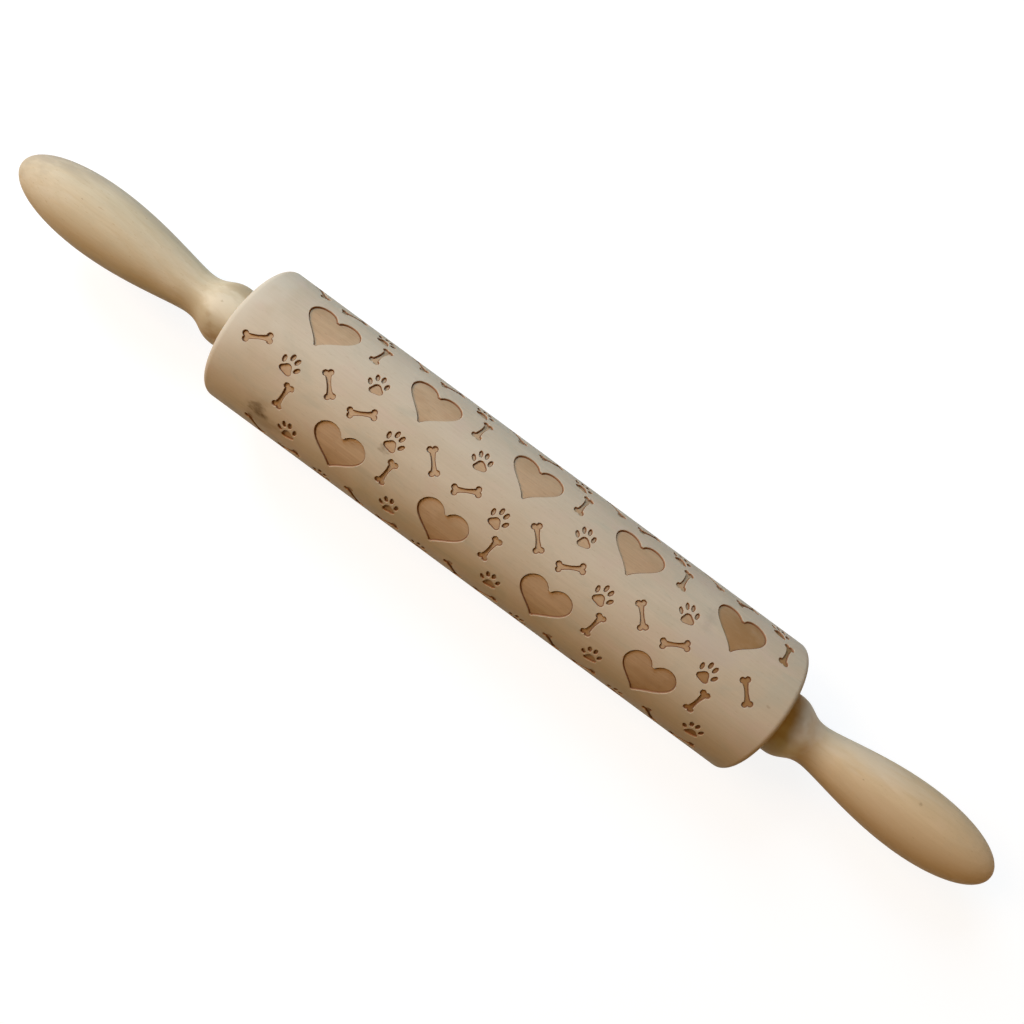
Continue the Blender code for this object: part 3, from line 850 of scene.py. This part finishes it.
def bush_profile():
    """A flanged bush with eased edges, its flange flush with the barrel's end."""
    bore = AXLE_RADIUS + RUNNING_GAP
    profile = [
        (0, bore + BUSH_EASE),
        (0, FLANGE_RADIUS - BUSH_EASE),
        (-BUSH_EASE, FLANGE_RADIUS),
        (-FLANGE_THICKNESS, FLANGE_RADIUS),
        (-FLANGE_THICKNESS, BUSH_RADIUS),
        (-BUSH_LENGTH + BUSH_CHAMFER, BUSH_RADIUS),
        (-BUSH_LENGTH, BUSH_RADIUS - BUSH_CHAMFER),
        (-BUSH_LENGTH, bore),
        (-BUSH_EASE, bore),
    ]
    return [(BARREL_END + place, radius) for place, radius in profile]


def washer_profile():
    """A punched washer: one edge rolled over, the other square."""
    bore = AXLE_RADIUS + RUNNING_GAP
    rolled = ROLLED_EDGE_SHARE * WASHER_EASE
    profile = [
        (0, bore),
        (0, WASHER_RADIUS),
        (WASHER_THICKNESS - WASHER_EASE, WASHER_RADIUS),
        (WASHER_THICKNESS - rolled, WASHER_RADIUS - rolled),
        (WASHER_THICKNESS, WASHER_RADIUS - WASHER_EASE),
        (WASHER_THICKNESS, bore + WASHER_EASE),
        (WASHER_THICKNESS - WASHER_EASE, bore),
    ]
    return [(WASHER_PLACE + place, radius) for place, radius in profile]


def insert_profile():
    """A barbed insert: saw-toothed outside, plain bore that the axle's thread runs in."""
    bore = AXLE_RADIUS + SEAT_GAP
    barb_length = INSERT_LENGTH / BARBS
    profile = [(0, bore)]
    for barb in range(BARBS):
        profile.append((barb * barb_length, INSERT_RADIUS))
        profile.append(((barb + BARB_LAND_SHARE) * barb_length, INSERT_RADIUS))
        profile.append(((barb + 1) * barb_length, INSERT_RADIUS - BARB_HEIGHT))
    profile.append((INSERT_LENGTH, bore))
    return [(FOOT_PLACE + place, radius) for place, radius in profile]


def axle_profile():
    """The rod with a chamfer and a run of thread at each end."""
    end = FOOT_PLACE + AXLE_REACH
    half = [(FOOT_PLACE, AXLE_RADIUS)]
    place = FOOT_PLACE + THREAD_START
    while place + THREAD_PITCH < end - AXLE_CHAMFER:
        half += [(place, AXLE_RADIUS), (place + THREAD_PITCH / 2, AXLE_RADIUS - THREAD_DEPTH)]
        place += THREAD_PITCH
    half += [(place, AXLE_RADIUS), (end - AXLE_CHAMFER, AXLE_RADIUS), (end, AXLE_RADIUS - AXLE_CHAMFER), (end, 0)]
    return [(-place, radius) for place, radius in reversed(half)] + half


# The floor, the light and the camera


def make_floor():
    """A wide pale floor. The camera sees it white, with the pin's soft shadow on it, which fades out further off."""
    clear_bench()
    bpy.ops.mesh.primitive_grid_add(x_subdivisions=FLOOR_SQUARES, y_subdivisions=FLOOR_SQUARES, size=FLOOR_WIDTH)
    floor = bpy.context.object
    floor.name = floor.data.name = "floor"
    paint = bpy.data.materials.new("floor_paint")
    paint.use_nodes = True
    tree = paint.node_tree
    tree.nodes.clear()
    matt = add(tree, "BsdfDiffuse", {"Color": FLOOR_COLOUR})
    shade = add(tree, "BsdfDiffuse", {"Color": (FLOOR_SHADOW_SHARE,) * 3})
    glow = add(tree, "Emission", {"Color": (1, 1, 1), "Strength": 1 - FLOOR_SHADOW_SHARE * FLOOR_LIGHT})
    white = add(tree, "Emission", {"Color": (1, 1, 1), "Strength": 1.0})
    near = add(tree, "AddShader", {0: shade.outputs[0], 1: glow.outputs[0]})
    off = spread(tree, length(tree, add(tree, "TexCoord").outputs["Object"]), *FLOOR_SHADE_FADES)
    seen = add(tree, "MixShader", {0: off, 1: near.outputs[0], 2: white.outputs[0]})
    choice = add(tree, "MixShader", {0: shown_white(tree), 1: matt.outputs[0], 2: seen.outputs[0]})
    add(tree, "OutputMaterial", {"Surface": choice.outputs[0]})
    floor.data.materials.append(paint)


def shown_white(tree):
    """1 for what the camera sees, straight, in a gloss or through glass, and 0 for all other light."""
    path = add(tree, "LightPath").outputs
    seen = sums(tree, "MAXIMUM", path["Is Camera Ray"], path["Is Glossy Ray"])
    return sums(tree, "MAXIMUM", seen, path["Is Transmission Ray"])


def make_surroundings():
    """A studio that looks white, though the lamps alone light the pin."""
    world = bpy.data.worlds.new("studio")
    bpy.context.scene.world = world
    world.use_nodes = True
    tree = world.node_tree
    tree.nodes.clear()
    dark = add(tree, "Background", {"Color": (1, 1, 1), "Strength": 0.0})
    white = add(tree, "Background", {"Color": (1, 1, 1), "Strength": 1.0})
    choice = add(tree, "MixShader", {0: shown_white(tree), 1: dark.outputs[0], 2: white.outputs[0]})
    add(tree, "OutputWorld", {"Surface": choice.outputs[0]})


def soft_lamp(name, towards, power, colour):
    """A square soft box that looks at the pin's middle."""
    lamp = bpy.data.lights.new(name, "AREA")
    lamp.size = LAMP_SIZE
    lamp.energy = power
    lamp.color = colour
    holder = bpy.data.objects.new(name, lamp)
    bpy.context.scene.collection.objects.link(holder)
    direction = Vector(towards).normalized()
    holder.location = Vector((0, 0, AXIS_HEIGHT)) + LAMP_DISTANCE * direction
    holder.rotation_euler = direction.to_track_quat("Z", "Y").to_euler()


def make_camera():
    """Straight above the pin, which lies across the picture from upper left to lower right."""
    camera = bpy.data.objects.new("camera", bpy.data.cameras.new("camera"))
    bpy.context.scene.collection.objects.link(camera)
    camera.data.lens = CAMERA_LENS
    camera.data.sensor_width = CAMERA_SENSOR
    camera.data.clip_start, camera.data.clip_end = CAMERA_SIGHT
    camera.location = CAMERA_PLACE
    camera.rotation_euler = (0, 0, CAMERA_TURN)
    bpy.context.scene.camera = camera


BARREL_FINISHES = (turned_beech(), scorched_and_shaded_wall(), engraved_floor())
left_lime = turned_lime("left_lime", PALE_LIME_TONES, (0.48, 0.35, 0.20), LEFT_LIME_LOG, 1.7, LEFT_KNOTS_AND_PAINTED_LIGHT)
right_lime = turned_lime("right_lime", WARM_LIME_TONES, (0.49, 0.34, 0.18), RIGHT_LIME_LOG, 1.2, RIGHT_KNOTS_AND_PAINTED_LIGHT)
steel = machined_metal("machined_steel", (0.60, 0.60, 0.58), 0.28, 0.5)
brass = machined_metal("machined_brass", (0.72, 0.52, 0.24), 0.32, 0.6)
nylon = moulded_nylon()

fit(make_barrel(), "barrel", "barrel")
fit(turn_on_lathe("threaded_axle", axle_profile(), ROD_SIDES), "axle_rod", "handles", steel)
for name, node, profile, sides, ring, body, slot, left_finish, right_finish in (
    ("turned_handle", "handle", handle_profile(), HANDLE_SIDES, False, "handles", "handle_wood", left_lime, right_lime),
    ("flanged_bush", "bearing_bush", bush_profile(), RING_SIDES, True, "barrel", "bush_nylon", nylon, nylon),
    ("steel_washer", "thrust_washer", washer_profile(), RING_SIDES, True, "handles", "washer_steel", steel, steel),
    ("barbed_insert", "threaded_insert", insert_profile(), ROD_SIDES, True, "handles", "insert_brass", brass, brass),
):
    right = turn_on_lathe("right_" + name, profile, sides, ring)
    left = other_end(right, "left_" + name)
    fit(right, "right_" + node, body, right_finish)
    fit(left, "left_" + node, body, left_finish)

make_floor()
make_surroundings()
for lamp in LAMPS:
    soft_lamp(*lamp)
make_camera()

bpy.context.scene.view_settings.view_transform = "Standard"
